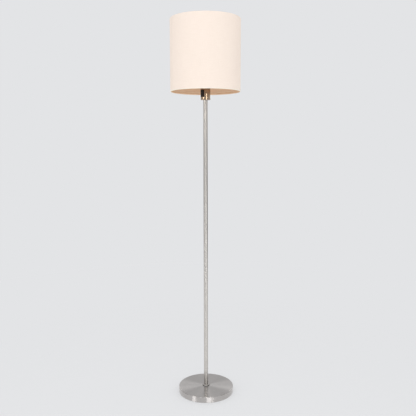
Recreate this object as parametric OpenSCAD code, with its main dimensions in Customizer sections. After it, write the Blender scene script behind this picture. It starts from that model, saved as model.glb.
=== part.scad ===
// Column floor lamp: a weighted round foot, a straight pole in three screwed
// sections, a switch cup with a rocker switch and a lampholder, and a drum shade.
// The origin is on the floor under the middle of the foot. The switch faces -Y.

/* [Base] */
// Diameter of the round foot
base_d = 245; // [200:1:320]
// Height of the foot's top above the floor
base_h = 26; // [24:0.5:40]
// Wall of the drawn steel cover
base_wall = 1.2; // [0.8:0.1:1.6]
// Outer radius of the cover's rounded top edge
base_edge_r = 2.2; // [2:0.1:4]
// Gap between the floor and the cover's rim
rim_gap = 1; // [0.5:0.1:2]
// Air between the cast weight and the cover's rim
weight_clear = 1.5; // [1:0.1:3]
// Thickness of the foam pad under the weight
pad_t = 3; // [2:0.5:4]
// How far the pad's edge stays inside the weight's edge
pad_inset = 2; // [1:0.5:10]
// Radius of the nut recess under the weight
recess_r = 22; // [18:1:30]
// Width of the lead channel and of the hollow round the inlet bush
channel_w = 14; // [13.5:0.5:20]

/* [Lead inlet] */
// Bore of the inlet bush, for the mains lead
inlet_bore_d = 7; // [5:0.5:8]
// Diameter of the bush where it passes through the rim
bush_d = 10.6; // [10:0.1:11]
// Diameter of the bush's outer flange
bush_flange_d = 14; // [12.5:0.5:16]
// Thickness of the bush's outer flange
bush_flange_t = 1.5; // [1:0.1:2]
// Diameter of the bush's inner collar
bush_collar_d = 12.4; // [11.6:0.1:13]

/* [Terminal block] */
// Distance of the block's middle from the pole's axis
block_y = 70; // [66:1:80]
// Width of the block across its three ways
block_w = 28; // [26:0.5:30]
// Length of the block along the leads
block_l = 16; // [14:0.5:20]
// Height of the block
block_h = 13; // [11:0.5:13.5]
// Distance between neighbouring ways
way_pitch = 9; // [8:0.5:9.5]
// Outer diameter of a brass sleeve
sleeve_d = 4.6; // [4.2:0.1:5]
// Bore of a brass sleeve
sleeve_bore_d = 2.8; // [2.6:0.1:3.2]
// Diameter of a clamping screw
clamp_screw_d = 2.6; // [2:0.1:3]

/* [Pole] */
// Outer diameter of the pole
pole_d = 19; // [16:0.5:28]
// Wall of the pole's tube
pole_wall = 1.2; // [0.8:0.1:1.5]
// Length of each of the three pole sections
section_l = 425.5; // [250:0.5:500]
// Bevel that draws the fine line where two sections meet
section_bevel = 0.2; // [0.1:0.05:0.4]
// Diameter of the dark washer between foot and pole
foot_washer_d = 31; // [22:0.5:40]
// Thickness of the dark washer between foot and pole
foot_washer_t = 1.5; // [1:0.1:4]
// Length of a threaded insert in a pole's end
insert_l = 16; // [12:0.5:25]
// How far a threaded tube's end stays inside an insert's end
insert_margin = 2; // [1:0.5:4]
// How far an insert lies back from a section's end
insert_inset = 0.3; // [0.1:0.1:1]

/* [Threaded tubes and nuts] */
// Outer diameter of the hollow threaded tubes
tube_d = 10; // [9:0.1:10.5]
// Bore of the hollow threaded tubes
tube_bore_d = 7.6; // [7:0.1:8]
// Width across the flats of a nut
nut_af = 14; // [13:0.5:17]
// Thickness of a nut
nut_t = 4; // [3:0.1:5]
// Diameter of a toothed lock washer
lock_d = 17; // [15:0.5:20]
// Thickness of a toothed lock washer
lock_t = 0.8; // [0.5:0.1:1.2]
// Diameter of the large washer under the weight
base_washer_d = 32; // [24:1:34]
// Thickness of the large washer under the weight
base_washer_t = 1.5; // [1:0.1:2]
// Thickness of the earth tag
tag_t = 0.8; // [0.5:0.1:1]
// Thread that shows past a nut
thread_show = 1; // [0.5:0.1:2]
// Room left for the leads between the stud's end and the pad
lead_room = 5.9; // [5:0.1:8]

/* [Switch cup] */
// Outer diameter of the cup
cup_d = 42; // [41:0.5:50]
// Height of the cup
cup_h = 68; // [64:1:80]
// Wall of the cup
cup_wall = 1; // [0.8:0.1:1.2]
// Outer radius of the cup's lower edge
cup_edge_r = 1.6; // [1.3:0.1:4]
// Depth of the lid's plate below the cup's rim
lid_depth = 18; // [16:0.5:19]
// Thickness of the lid's plate
lid_t = 1.2; // [0.8:0.1:1.5]
// Length of the lid's skirt down the cup's wall
lid_skirt = 5; // [3:0.5:6]

/* [Rocker switch] */
// Width of the switch's bezel
bezel_w = 17; // [16:0.5:20]
// Height of the switch's bezel
bezel_h = 29; // [28:0.5:32]
// How far the bezel stands in front of the cup
bezel_proud = 1.2; // [0.8:0.1:2]
// Corner radius of the bezel
bezel_corner_r = 1.6; // [1:0.1:3]
// Height of the switch's middle above the cup's underside
switch_rise = 27; // [25:0.5:29]
// Width of the switch's body
body_w = 14.6; // [14.5:0.1:15.5]
// Height of the switch's body
body_h = 26.6; // [26.6:0.1:27.5]
// Width of the rocker
rocker_w = 12; // [10:0.1:12]
// Length of one half of the rocker's face
rocker_half = 11; // [9:0.1:11]
// Angle between the rocker's two ends of travel
rocker_throw = 18; // [12:1:20]
// Distance of the rocker's hinge behind the cup's front
pivot_in = 4; // [3.5:0.1:4.5]
// Diameter of the rocker's hinge pins
pivot_d = 3; // [2:0.1:3]
// Angle between the contact blade's two ends of travel
blade_throw = 10; // [6:1:12]
// Width of the contact blade
blade_w = 5; // [3:0.5:6]

/* [Lampholder] */
// Outer diameter of the holder's threaded skirt
skirt_d = 39.5; // [38.5:0.1:39.5]
// Height of the holder's threaded skirt
skirt_h = 34; // [30:0.5:38]
// Height of the holder's dome
dome_h = 16; // [15.5:0.5:18]
// Diameter of the holder's dome
dome_d = 37.6; // [36:0.1:38]
// Wall of the holder's dome
dome_wall = 2; // [1.5:0.1:2.5]
// Thickness of the contact carrier
carrier_t = 5; // [4:0.1:6]
// Rise of the centre contact's spring above the carrier
contact_rise = 6; // [4:0.1:8]
// Width of the contact strips
strip_w = 5; // [4:0.1:5.5]
// Thickness of the contact strips
strip_t = 0.5; // [0.4:0.1:0.6]
// Diameter of the shade's locking ring
lock_ring_d = 56; // [50:1:64]
// Height of the shade's locking ring
lock_ring_h = 8; // [6:0.5:12]
// Number of finger grooves round the locking ring
lock_ring_grooves = 16; // [8:1:24]

/* [Bulb] */
// Diameter of the bulb's globe
bulb_d = 60; // [50:1:80]
// Length of the bulb with its cap
bulb_l = 108; // [104:1:118]
// Diameter of the glass where it enters the cap
bulb_neck_d = 28; // [27:0.5:30]
// Radius of the hollow curve between neck and globe
bulb_waist_r = 40; // [30:1:50]
// Thickness of the glass
glass_t = 1; // [0.8:0.1:1.5]
// Outer diameter of the cap's rolled thread
cap_d = 26.5; // [26:0.1:26.6]
// Length of the cap with its foot contact
cap_l = 26; // [24:0.5:28]

/* [Shade] */
// Outer diameter of the drum shade
shade_d = 300; // [240:1:450]
// Height of the drum shade
shade_h = 300; // [150:1:400]
// Height of the shade's fitting ring above its lower edge
fitter_rise = 34; // [30:1:60]
// Thickness of the shade's fabric
fabric_t = 0.8; // [0.6:0.1:1]
// Thickness of the shade's inner lining
liner_t = 0.5; // [0.3:0.1:0.6]
// Diameter of the wire of the rings and arms
wire_d = 3; // [2.5:0.1:4]
// Height of the fabric turned in at each edge
hem_h = 12; // [9:0.5:25]
// Width of the overlap at the fabric's seam
seam_w = 10; // [6:1:20]
// Step of the overlap at the fabric's seam
seam_t = 0.4; // [0.2:0.1:0.6]
// Diameter of the fitting ring
fitter_d = 60; // [54:1:80]
// Thickness of the fitting ring
fitter_t = 1.5; // [1:0.1:2.5]
// Number of wire arms
arm_count = 3; // [3:1:4]
// Angle of the first arm, seen from above
arm_turn = 14; // [0:1:119]

/* [Wiring] */
// Diameter of a single lead with its insulation
lead_d = 2.2; // [1.8:0.1:2.4]

/* [Hidden] */
$fn = 96;

// Fits: thread is radial, slip is between still pieces, run is between moving ones
thread_fit = 0.05;
slip_fit = 0.1;
hole_fit = 0.25;
run_fit = 0.05;
loose_fit = 0.35; // between the big threads of lampholder, bulb and shade
swing_gap = 0.3;
hem_gap = 0.3;
weld_gap = 0.02;
past = 1; // how far a cutter runs past the face that it cuts

// Finishes
nickel = [0.70, 0.69, 0.67];
zinc = [0.74, 0.75, 0.76];
brass = [0.80, 0.66, 0.36];
bronze = [0.72, 0.48, 0.28];
black_plastic = [0.10, 0.08, 0.07];
white_plastic = [0.90, 0.89, 0.85];
cast_iron = [0.28, 0.28, 0.29];
linen = [0.98, 0.93, 0.88];
lining = [0.82, 0.70, 0.58];

// Foot
base_r = base_d / 2;
cover_in_r = base_r - base_wall;
cover_under_z = base_h - base_wall;
weight_r = cover_in_r - weight_clear;
weight_bevel = base_edge_r + 1;
tube_hole_d = tube_d + 2 * hole_fit;
stack_t = base_washer_t + tag_t + lock_t + nut_t + thread_show;
stud_z = pad_t + lead_room;
recess_z = stud_z + stack_t;
washer_z = recess_z - base_washer_t;
tag_z = washer_z - tag_t;
base_lock_z = tag_z - lock_t;
base_nut_z = base_lock_z - nut_t;
inlet_z = 13;
channel_z = inlet_z + channel_w / 2;

// Terminal block, in a pocket of the weight
pocket_room = 2;
pocket_lead_l = 16;
pocket_z = 18.5;
block_z = pocket_z - block_h;
way_z = 12;
screw_offset = block_l / 4;
block_screw_d = 3;
block_screw_x = way_pitch / 2;
block_screw_l = 12;
screw_head_d = 5.4;
screw_head_z = block_z + 2;

// Pole
pole_r = pole_d / 2;
pole_bore_r = pole_r - pole_wall;
pole_z = base_h + foot_washer_t;
cup_z = pole_z + 3 * section_l;
nipple_l = 2 * (insert_l - insert_margin);

// Cup and lid
cup_r = cup_d / 2;
cup_in_r = cup_r - cup_wall;
cup_floor_z = cup_z + cup_wall;
rim_z = cup_z + cup_h;
lid_z = rim_z - lid_depth;
lid_under_z = lid_z - lid_t;

// Switch, measured from the rocker's hinge: y points into the cup
pivot_y = pivot_in - cup_r;
switch_z = cup_z + switch_rise;
front_y = -pivot_in - bezel_proud;
body_back_y = 13.5;
body_floor_t = 1.3;
body_wall = 1;
mouth_w = body_w - 2 * body_wall;
mouth_h = body_h - 2.2;
half_throw = rocker_throw / 2;
face_proud = 0.2;
face_y = (front_y - face_proud) / cos(half_throw);
end_y = face_y - rocker_half * sin(half_throw);
end_z = rocker_half * cos(half_throw);
rocker_back_y = 0.5;
rocker_wall = 1.3;
rocker_inner_y = face_y + 1.9;
hub_d = 2 * pivot_d - 0.4;
barrel_r = 2.2;
barrel_end_y = 4.5;
barrel_floor_y = rocker_inner_y + 1;
plunger_r = 1.2;
plunger_y = 1.6;
plunger_reach = 8;
saddle_r = 1.7;
blade_y = plunger_reach + swing_gap + saddle_r;
blade_t = 0.6;
blade_half = 9.5;
contact_z = -8;
tab_end_y = 21;
tab_w = 4.8;
tab_t = 0.8;

// Lampholder
skirt_r = skirt_d / 2;
dome_r = dome_d / 2;
dome_floor_t = 2.5;
skirt_z = lid_z + dome_h;
carrier_drop = 4;
carrier_z = skirt_z - carrier_drop;
carrier_r = dome_r - dome_wall - slip_fit;
carrier_top_z = carrier_z + carrier_t;
holder_screw_x = 9;
holder_screw_d = 2.5;
holder_tube_rise = 6;
contact_top_z = carrier_top_z + contact_rise;

// Bulb
bulb_z = contact_top_z + swing_gap;
bulb_r = bulb_d / 2;
bulb_mid_z = bulb_z + bulb_l - bulb_r;
glass_z = bulb_z + cap_l - 2;
neck_r = bulb_neck_d / 2;
waist_x = neck_r + bulb_waist_r;
waist_drop = sqrt(pow(bulb_r + bulb_waist_r, 2) - pow(waist_x, 2));
waist_z = bulb_mid_z - waist_drop;
cap_r = cap_d / 2;
cap_wall = 0.6;
thread_pitch = 3.6;
foot_t = 1.5;
vitrite_h = 4;
socket_r = cap_r + loose_fit;
mouth_r = neck_r + 2.5;

// Shade
shade_r = shade_d / 2;
shade_z = rim_z - fitter_rise;
shade_top_z = shade_z + shade_h;
wire_r = wire_d / 2;
fold_in_r = wire_r + hem_gap;
fold_r = fold_in_r + fabric_t;
ring_r = shade_r - fold_r;
ring_z = shade_z + fold_r;
liner_in_r = shade_r - fabric_t - liner_t;
liner_end = fold_r + wire_r + hem_gap;
fitter_in_r = skirt_r + loose_fit;
arm_tail_gap = 1.2;
arm_start_r = cup_r + arm_tail_gap;
arm_bend_r = fitter_d / 2 + 2;
arm_z = rim_z - wire_r - weld_gap;
arm_end_r = liner_in_r - 0.5;
notch_l = 12;
notch_fit = 0.4;
bend_r = 6;
arm_span = [ring_r - arm_bend_r, arm_z - bend_r - ring_z];
arm_slope = atan2(arm_span[1], arm_span[0]) + asin((bend_r - wire_d - weld_gap) / norm(arm_span));
arm_bend = [
    for (step = [0 : 3])
        let (a = arm_slope * step / 3)
            [0, arm_bend_r + bend_r * sin(a), arm_z - bend_r + bend_r * cos(a)]
];
arm_end_z = arm_bend[3][2] - (arm_end_r - arm_bend[3][1]) * tan(arm_slope);
arm_route = concat([[0, arm_start_r, arm_z]], arm_bend, [[0, arm_end_r, arm_end_z]]);

// Routes of the leads, as points
lead_x = 1.7;
live_route = [
    [-way_pitch, 67, way_z], [-way_pitch, 58, way_z], [-6, 50, 11], [-3.5, 42, 10],
    [-2, 32, 8], [-lead_x, 20, 6], [-lead_x, 9, 5.2], [-lead_x, 4, 5.6], [-lead_x, 1.4, 7.2],
    [-lead_x, 0.3, 9.5], [-lead_x, 0, 12], [-lead_x, 0, cup_z + 6], [-lead_x, 2, cup_z + 10],
    [-1, 6, cup_z + 13.5], [0, 8.5, cup_z + 16.5], [0, 7.5, cup_z + 19],
    [0, 4.2, cup_z + 19]
];
neutral_route = [
    [way_pitch, 67, way_z], [way_pitch, 58, way_z], [6, 50, 11], [3.5, 42, 10],
    [2, 32, 8], [lead_x, 20, 6], [lead_x, 9, 5.2], [lead_x, 4, 5.6], [lead_x, 1.4, 7.2],
    [lead_x, 0.3, 9.5], [lead_x, 0, 12], [lead_x, 0, cup_z + 6], [2.5, 1.5, cup_z + 9],
    [5, 5, cup_z + 13], [8, 8, cup_z + 19], [8.5, 8.5, cup_z + 26], [7.5, 7.5, cup_z + 33],
    [4.5, 4, cup_z + 38.5], [2.2, 0.8, cup_z + 42.5], [lead_x, 0, cup_z + 46],
    [lead_x, 0, cup_z + 56], [2.6, 0, cup_z + 58.5], [4.6, 0, cup_z + 60.4],
    [7.3, 0, cup_z + 60.8]
];
switched_route = [
    [0, 4.2, cup_z + 27], [0, 7, cup_z + 27], [-0.8, 9.2, cup_z + 29.5],
    [-1.5, 9, cup_z + 34], [-lead_x, 5.5, cup_z + 38.5], [-lead_x, 1.8, cup_z + 41.5],
    [-lead_x, 0, cup_z + 46], [-lead_x, 0, cup_z + 56], [-2.6, 0, cup_z + 58.5],
    [-4.6, 0, cup_z + 60.4], [-7.3, 0, cup_z + 60.8]
];
earth_route = [
    [0, 67, way_z], [0, 58, way_z], [0, 48, 12.5], [0, 38, 14], [0, 30, 15], [0, 25, 15]
];

// Shared shapes

// A flat ring of thickness t
module washer(d, bore_d, t) {
    difference() {
        cylinder(d = d, h = t);
        translate([0, 0, -past]) cylinder(d = bore_d, h = t + 2 * past);
    }
}

// A hexagonal nut across the flats af, with rounded-off corners on one face
module hex_nut(af, bore_d, t) {
    difference() {
        intersection() {
            cylinder(d = af / cos(30), h = t, $fn = 6);
            cylinder(r1 = af / 2 * 1.22, r2 = af / 2 * 1.02, h = t);
        }
        translate([0, 0, -past]) cylinder(d = bore_d, h = t + 2 * past);
    }
}

// A washer with teeth cut into its edge
module toothed_washer() {
    difference() {
        washer(lock_d, tube_d + 2 * thread_fit, lock_t);
        for (turn = [0 : 30 : 330])
            rotate(turn) translate([lock_d / 2, 0, -past]) cylinder(d = 2, h = lock_t + 2 * past);
    }
}

// A nut of the size used on the threaded tubes
module tube_nut() {
    hex_nut(nut_af, tube_d + 2 * thread_fit, nut_t);
}

// A hollow threaded tube with bevelled ends
module threaded_tube(l) {
    bevel = 0.5;
    r = tube_d / 2;
    rotate_extrude()
        polygon([
            [tube_bore_d / 2, 0], [r - bevel, 0], [r, bevel], [r, l - bevel], [r - bevel, l],
            [tube_bore_d / 2, l]
        ]);
}

// A cylinder along +Y
module y_cylinder(d, h) {
    rotate([-90, 0, 0]) cylinder(d = d, h = h);
}

// A cylinder along X, middle at the origin
module x_cylinder(d, h) {
    rotate([0, 90, 0]) cylinder(d = d, h = h, center = true);
}

// A shape drawn as [y, z] and made w wide along X, middle at x = 0
module x_extrude(w) {
    rotate([90, 0, 90]) linear_extrude(w, center = true) children();
}

// Half section of a drum closed at the top, with a rounded top edge
module drum_half(r, h, edge_r) {
    union() {
        square([r - edge_r, h]);
        square([r, h - edge_r]);
        translate([r - edge_r, h - edge_r]) circle(edge_r);
    }
}

// A rectangle with round corners, middle at the origin
module round_rectangle(w, h, r) {
    union() {
        square([w - 2 * r, h], center = true);
        square([w, h - 2 * r], center = true);
        for (x = [-1, 1], y = [-1, 1])
            translate([x * (w / 2 - r), y * (h / 2 - r)]) circle(r);
    }
}

// Direction of a route at point i
function heading(route, i) =
    let (a = route[max(i - 1, 0)], b = route[min(i + 1, len(route) - 1)]) (b - a) / norm(b - a);

// Points of a ring round p, square to direction t and square to direction aside
function tube_ring(p, t, aside, d, sides) =
    let (c = cross(t, aside), u = c / norm(c), v = cross(t, u))
        [for (k = [0 : sides - 1]) p + d / 2 * (u * cos(360 * k / sides) + v * sin(360 * k / sides))];

// Faces of a tube of that many rings, closed at both ends
function tube_faces(rings, sides) =
    let (last = (rings - 1) * sides)
        [
            for (i = [0 : rings - 2], k = [0 : sides - 1])
                let (a = i * sides + k, b = i * sides + (k + 1) % sides)
                    each [[a, b, a + sides], [b, b + sides, a + sides]],
            for (k = [1 : sides - 2]) [0, k + 1, k],
            for (k = [1 : sides - 2]) [last, last + k, last + k + 1]
        ];

// A round tube swept along a route that never runs along X
module sweep(route, d, sides) {
    points = [
        for (i = [0 : len(route) - 1])
            each tube_ring(route[i], heading(route, i), [1, 0, 0], d, sides)
    ];
    polyhedron(points = points, faces = tube_faces(len(route), sides));
}

// A round tube swept along a coil about Z
module coil(route, d, sides) {
    points = [
        for (i = [0 : len(route) - 1])
            each tube_ring(route[i], heading(route, i), [route[i][0], route[i][1], 0], d, sides)
    ];
    polyhedron(points = points, faces = tube_faces(len(route), sides));
}

// Foot

module base_cover() {
    color(nickel)
        difference() {
            translate([0, 0, rim_gap])
                rotate_extrude(convexity = 4)
                    difference() {
                        drum_half(base_r, base_h - rim_gap, base_edge_r);
                        translate([0, -past])
                            drum_half(
                                cover_in_r,
                                base_h - rim_gap - base_wall + past,
                                base_edge_r - base_wall
                            );
                        square([tube_hole_d / 2, base_h + past]);
                    }
            translate([0, cover_in_r - past, inlet_z])
                y_cylinder(bush_d + 2 * slip_fit, base_wall + 2 * past);
        }
}

module base_weight() {
    weight_h = cover_under_z - pad_t;
    pocket_w = block_w + 2 * pocket_room;
    pocket_y = block_y - block_l / 2 - pocket_lead_l;
    color(cast_iron)
        difference() {
            translate([0, 0, pad_t])
                rotate_extrude()
                    polygon([
                        [0, 0], [weight_r, 0], [weight_r, weight_h - weight_bevel],
                        [weight_r - weight_bevel, weight_h], [0, weight_h]
                    ]);
            cylinder(r = recess_r, h = recess_z);
            cylinder(d = tube_hole_d, h = base_h);
            translate([-channel_w / 2, 0, 0]) cube([channel_w, base_r, channel_z]);
            translate([-pocket_w / 2, pocket_y, 0])
                cube([pocket_w, block_l + pocket_lead_l + pocket_room, pocket_z]);
            translate([block_screw_x, block_y, 0])
                cylinder(d = block_screw_d + 2 * thread_fit, h = block_z + block_screw_l + past);
        }
}

module base_pad() {
    color([0.12, 0.12, 0.12]) cylinder(r = weight_r - pad_inset, h = pad_t);
}

module base_washer() {
    color(zinc) translate([0, 0, washer_z]) washer(base_washer_d, tube_hole_d, base_washer_t);
}

module earth_tag() {
    tag_d = lock_d;
    tab_l = 14;
    barrel_d = lead_d + 1.2;
    color(brass)
        translate([0, 0, tag_z])
            difference() {
                union() {
                    washer(tag_d, tube_hole_d, tag_t);
                    translate([-2, tag_d / 2 - 1, 0]) cube([4, tab_l, tag_t]);
                    translate([0, tag_d / 2 + tab_l - 6, tag_t / 2]) y_cylinder(barrel_d, 5);
                }
                translate([0, tag_d / 2 + tab_l - 3, tag_t / 2]) y_cylinder(lead_d + 0.2, 5);
            }
}

module base_lock_washer() {
    color(zinc) translate([0, 0, base_lock_z]) toothed_washer();
}

module base_nut() {
    color(zinc) translate([0, 0, base_nut_z]) tube_nut();
}

module base_stud() {
    color(zinc)
        translate([0, 0, stud_z]) threaded_tube(pole_z + insert_l - insert_margin - stud_z);
}

module cord_inlet_bush() {
    collar_t = 1.5;
    collar_gap = 0.3;
    collar_y = cover_in_r - collar_gap - collar_t;
    length = base_r + bush_flange_t - collar_y;
    color(black_plastic)
        translate([0, collar_y, inlet_z])
            difference() {
                union() {
                    y_cylinder(bush_d, length);
                    y_cylinder(bush_collar_d, collar_t);
                    translate([0, length - bush_flange_t + weld_gap, 0])
                        y_cylinder(bush_flange_d, bush_flange_t - weld_gap);
                }
                translate([0, -past, 0]) y_cylinder(inlet_bore_d, length + 2 * past);
            }
}

module terminal_block() {
    color(white_plastic)
        difference() {
            translate([-block_w / 2, block_y - block_l / 2, block_z])
                cube([block_w, block_l, block_h]);
            for (way = [-1 : 1])
                translate([way * way_pitch, block_y, way_z]) {
                    translate([0, -block_l / 2 - past, 0])
                        y_cylinder(sleeve_d + 2 * thread_fit, block_l + 2 * past);
                    for (side = [-1, 1])
                        translate([0, side * screw_offset, -way_z])
                            cylinder(d = clamp_screw_d + 2 * slip_fit, h = way_z);
                }
            translate([block_screw_x, block_y, 0])
                cylinder(d = block_screw_d + 2 * slip_fit, h = base_h);
            translate([block_screw_x, block_y, 0]) cylinder(d = screw_head_d + 0.6, h = screw_head_z);
        }
}

module terminal_sleeves() {
    sleeve_l = block_l - 1;
    color(brass)
        for (way = [-1 : 1])
            translate([way * way_pitch, block_y, way_z])
                difference() {
                    translate([0, -sleeve_l / 2, 0]) y_cylinder(sleeve_d, sleeve_l);
                    translate([0, -block_l, 0]) y_cylinder(sleeve_bore_d, 2 * block_l);
                    for (side = [-1, 1])
                        translate([0, side * screw_offset, -sleeve_d])
                            cylinder(d = clamp_screw_d + 2 * thread_fit, h = sleeve_d);
                }
}

module terminal_screws() {
    screw_top_z = way_z - lead_d / 2 - slip_fit;
    screw_l = screw_top_z - block_z - 0.5;
    slot_w = 0.5;
    slot_depth = 0.8;
    color(zinc)
        for (way = [-1 : 1], side = [-1, 1])
            translate([way * way_pitch, block_y + side * screw_offset, screw_top_z - screw_l])
                difference() {
                    cylinder(d = clamp_screw_d, h = screw_l);
                    translate([-past - clamp_screw_d / 2, -slot_w / 2, -past])
                        cube([clamp_screw_d + 2 * past, slot_w, past + slot_depth]);
                }
}

module block_screw() {
    head_t = 1.8;
    slot = 0.8;
    color(zinc)
        translate([block_screw_x, block_y, screw_head_z - head_t])
            difference() {
                union() {
                    cylinder(d = screw_head_d, h = head_t);
                    cylinder(d = block_screw_d, h = block_screw_l);
                }
                translate([-screw_head_d, -slot / 2, -past])
                    cube([2 * screw_head_d, slot, past + slot]);
            }
}

// Pole

module foot_washer() {
    color(black_plastic)
        translate([0, 0, base_h]) washer(foot_washer_d, tube_hole_d, foot_washer_t);
}

// Pole section number i, counted from the floor
module pole_section(i) {
    b = section_bevel;
    color(nickel)
        translate([0, 0, pole_z + i * section_l])
            rotate_extrude()
                polygon([
                    [pole_bore_r, 0], [pole_r - b, 0], [pole_r, b], [pole_r, section_l - b],
                    [pole_r - b, section_l], [pole_bore_r, section_l]
                ]);
}

module pole_lower() {
    pole_section(0);
}

module pole_middle() {
    pole_section(1);
}

module pole_upper() {
    pole_section(2);
}

module pole_inserts() {
    color(zinc)
        for (i = [0 : 2], rise = [insert_inset, section_l - insert_l - insert_inset])
            translate([0, 0, pole_z + i * section_l + rise])
                washer(2 * (pole_bore_r - weld_gap), tube_d + 2 * thread_fit, insert_l);
}

module pole_nipples() {
    color(zinc)
        for (i = [1, 2])
            translate([0, 0, pole_z + i * section_l - nipple_l / 2]) threaded_tube(nipple_l);
}

// Switch cup

module switch_cup() {
    cut_w = body_w + 2 * slip_fit;
    cut_h = body_h + 2 * slip_fit;
    color(nickel)
        difference() {
            translate([0, 0, rim_z])
                mirror([0, 0, 1])
                    rotate_extrude(convexity = 4)
                        difference() {
                            drum_half(cup_r, cup_h, cup_edge_r);
                            translate([0, -past])
                                drum_half(cup_in_r, cup_h - cup_wall + past, cup_edge_r - cup_wall);
                            square([tube_hole_d / 2, cup_h + past]);
                        }
            translate([-cut_w / 2, -cup_r - past, switch_z - cut_h / 2])
                cube([cut_w, cup_r, cut_h]);
        }
}

module cup_nipple() {
    below = insert_l - insert_margin;
    color(zinc)
        translate([0, 0, cup_z - below])
            threaded_tube(below + cup_wall + lock_t + nut_t + thread_show);
}

module cup_lock_washer() {
    color(zinc) translate([0, 0, cup_floor_z]) toothed_washer();
}

module cup_nut() {
    color(zinc) translate([0, 0, cup_floor_z + lock_t]) tube_nut();
}

module cup_lid() {
    lid_r = cup_in_r - weld_gap;
    color(zinc)
        translate([0, 0, lid_z])
            mirror([0, 0, 1])
                rotate_extrude(convexity = 4)
                    difference() {
                        square([lid_r, lid_t + lid_skirt]);
                        translate([0, lid_t]) square([lid_r - 1, lid_skirt + past]);
                        square([tube_hole_d / 2, lid_t + past]);
                    }
}

// Rocker switch

// Moves its children from the hinge's own frame into the cup
module at_switch() {
    translate([0, pivot_y, switch_z]) children();
}

module switch_body() {
    lug_w = 6;
    lug_rise = 1.2;
    lug_y = -pivot_in + cup_wall + 0.4;
    color(black_plastic)
        at_switch()
            difference() {
                union() {
                    difference() {
                        translate([0, -pivot_in + cup_wall + 2, 0])
                            rotate([90, 0, 0])
                                linear_extrude(bezel_proud + cup_wall + 2)
                                    round_rectangle(bezel_w, bezel_h, bezel_corner_r);
                        translate([0, -pivot_y, -bezel_h])
                            cylinder(r = cup_r + weld_gap, h = 2 * bezel_h);
                    }
                    translate([-body_w / 2, front_y + bezel_proud / 2, -body_h / 2])
                        cube([body_w, body_back_y - front_y - bezel_proud / 2, body_h]);
                    for (up = [0, 1])
                        mirror([0, 0, up])
                            x_extrude(lug_w)
                                polygon([
                                    [lug_y, body_h / 2 - 0.5], [lug_y, body_h / 2 + lug_rise],
                                    [2, body_h / 2], [2, body_h / 2 - 0.5]
                                ]);
                }
                translate([-mouth_w / 2, front_y - past, -mouth_h / 2])
                    cube([mouth_w, body_back_y - body_floor_t - front_y + past, mouth_h]);
                x_cylinder(pivot_d + 2 * run_fit, body_w + 2 * past);
                for (z = [0, contact_z])
                    translate([0, body_back_y, z])
                        cube([tab_w + 0.2, 4 * body_floor_t, tab_t + 0.2], center = true);
            }
}

// Turns its children from the rocker's middle position to its rest at off
module rocker_rest() {
    at_switch() rotate([half_throw, 0, 0]) children();
}

module switch_rocker() {
    skirt_y = -3;
    skirt_half = mouth_h / 2 - 0.8;
    color(black_plastic)
        rocker_rest()
            difference() {
                union() {
                    difference() {
                        x_extrude(rocker_w)
                            polygon([
                                [face_y, 0], [end_y, end_z], [skirt_y, skirt_half],
                                [rocker_back_y, skirt_half], [rocker_back_y, -skirt_half],
                                [skirt_y, -skirt_half], [end_y, -end_z]
                            ]);
                        translate([
                            -rocker_w / 2 + rocker_wall, rocker_inner_y, rocker_wall - skirt_half
                        ])
                            cube([
                                rocker_w - 2 * rocker_wall, rocker_back_y - rocker_inner_y + past,
                                2 * (skirt_half - rocker_wall)
                            ]);
                    }
                    x_cylinder(hub_d, rocker_w);
                    x_cylinder(pivot_d, body_w - swing_gap);
                    translate([0, rocker_inner_y - 0.5, 0])
                        y_cylinder(2 * barrel_r, barrel_end_y - rocker_inner_y + 0.5);
                }
                translate([0, barrel_floor_y, 0])
                    y_cylinder(2 * (plunger_r + slip_fit), barrel_end_y - barrel_floor_y + past);
            }
}

module switch_plunger() {
    color(white_plastic)
        rocker_rest() {
            translate([0, plunger_y, 0])
                y_cylinder(2 * plunger_r, plunger_reach - plunger_r - plunger_y);
            translate([0, plunger_reach - plunger_r, 0]) sphere(plunger_r);
        }
}

module switch_spring() {
    wire = 0.36;
    turns = 4;
    steps = 10;
    start_y = barrel_floor_y + wire / 2;
    rise = (plunger_y - wire / 2 - start_y) / turns;
    coil_r = plunger_r - wire / 2 - run_fit;
    route = [
        for (i = [0 : turns * steps])
            let (a = 360 * i / steps)
                [coil_r * cos(a), coil_r * sin(a), start_y + rise * i / steps]
    ];
    color(zinc) rocker_rest() rotate([-90, 0, 0]) coil(route, wire, 6);
}

module switch_blade() {
    nose_r = tab_t;
    back_y = -0.1;
    button_d = 2.4;
    button_t = 0.6;
    color(bronze)
        at_switch()
            translate([0, blade_y, 0])
                rotate([-blade_throw / 2, 0, 0]) {
                    x_extrude(blade_w)
                        difference() {
                            union() {
                                translate([back_y - blade_t, -blade_half])
                                    square([blade_t, 2 * blade_half]);
                                circle(saddle_r);
                            }
                            circle(nose_r + swing_gap);
                            translate([back_y, -saddle_r - past])
                                square([saddle_r + past, 2 * (saddle_r + past)]);
                        }
                    translate([0, back_y, contact_z]) y_cylinder(button_d, button_t);
                }
}

module switch_terminals() {
    plate_t = 0.6;
    plate_y = body_back_y - body_floor_t - plate_t - run_fit;
    color(brass)
        at_switch() {
            translate([0, blade_y, 0]) x_cylinder(2 * tab_t, tab_w);
            translate([-tab_w / 2, blade_y, -tab_t / 2])
                cube([tab_w, tab_end_y - blade_y, tab_t]);
            translate([-tab_w / 2, plate_y, contact_z - 2]) cube([tab_w, plate_t, 4]);
            translate([-tab_w / 2, plate_y, contact_z - tab_t / 2])
                cube([tab_w, tab_end_y - plate_y, tab_t]);
        }
}

// Lampholder

module holder_nipple() {
    below = lid_t + lock_t + nut_t + thread_show;
    color(zinc) translate([0, 0, lid_z - below]) threaded_tube(below + holder_tube_rise);
}

module holder_lock_washer() {
    color(zinc) translate([0, 0, lid_under_z - lock_t]) toothed_washer();
}

module holder_nut() {
    color(zinc)
        translate([0, 0, lid_under_z - lock_t]) mirror([0, 0, 1]) tube_nut();
}

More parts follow.
